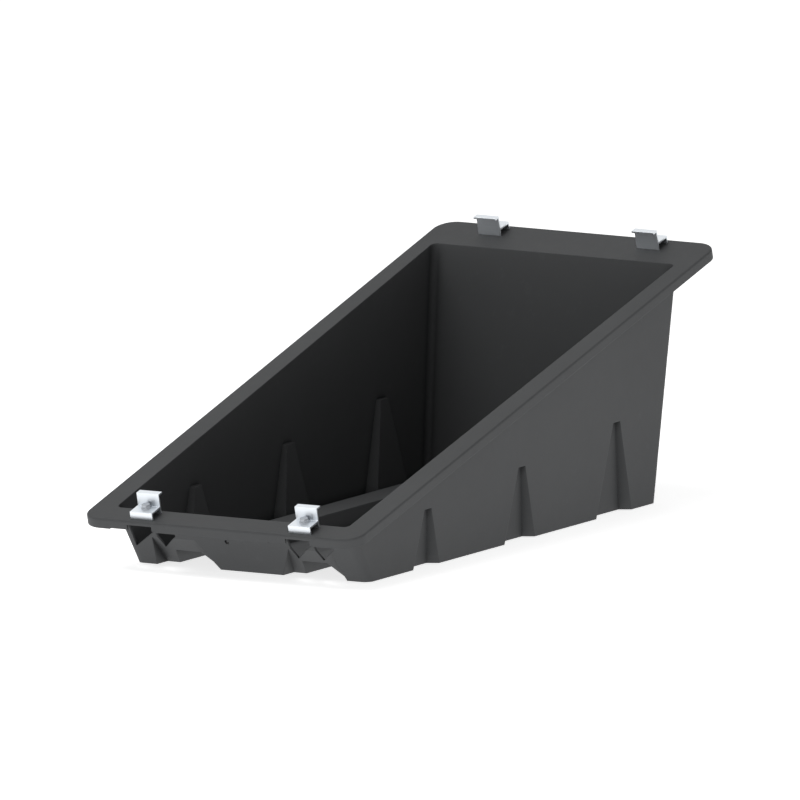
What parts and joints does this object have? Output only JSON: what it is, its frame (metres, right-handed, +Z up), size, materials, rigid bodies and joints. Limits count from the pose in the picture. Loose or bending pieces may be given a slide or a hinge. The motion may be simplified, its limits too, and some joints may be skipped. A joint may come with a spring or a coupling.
{
  "type": "solar ballast mount",
  "caption": "Moulded open tub with a sloping rim flange and bolted end clamps, filled with ballast to hold a tilted solar panel on a flat roof.",
  "frame": {"origin": "on the ground plane, midway across the tub and midway along its footprint", "axes": "+Z up, +Y from the low front edge to the high rear edge, +X to the right seen from the front"},
  "size_m": [0.504, 1.1799, 0.422],
  "materials": {
    "tub_plastic": "moulded matte, fine grain",
    "clamp_aluminium": "satin anodised",
    "stainless_steel": "plain stainless"
  },
  "bodies": {
    "root": {"ballast_tub": "tub_plastic", "front_left_clamp": "clamp_aluminium", "front_left_washer": "stainless_steel", "front_left_bolt": "stainless_steel", "front_left_backing_plate": "stainless_steel", "front_left_nut": "stainless_steel", "front_right_clamp": "clamp_aluminium", "front_right_washer": "stainless_steel", "front_right_bolt": "stainless_steel", "front_right_backing_plate": "stainless_steel", "front_right_nut": "stainless_steel", "rear_left_clamp": "clamp_aluminium", "rear_left_washer": "stainless_steel", "rear_left_bolt": "stainless_steel", "rear_left_backing_plate": "stainless_steel", "rear_left_nut": "stainless_steel", "rear_right_clamp": "clamp_aluminium", "rear_right_washer": "stainless_steel", "rear_right_bolt": "stainless_steel", "rear_right_backing_plate": "stainless_steel", "rear_right_nut": "stainless_steel"}
  },
  "joints": []
}
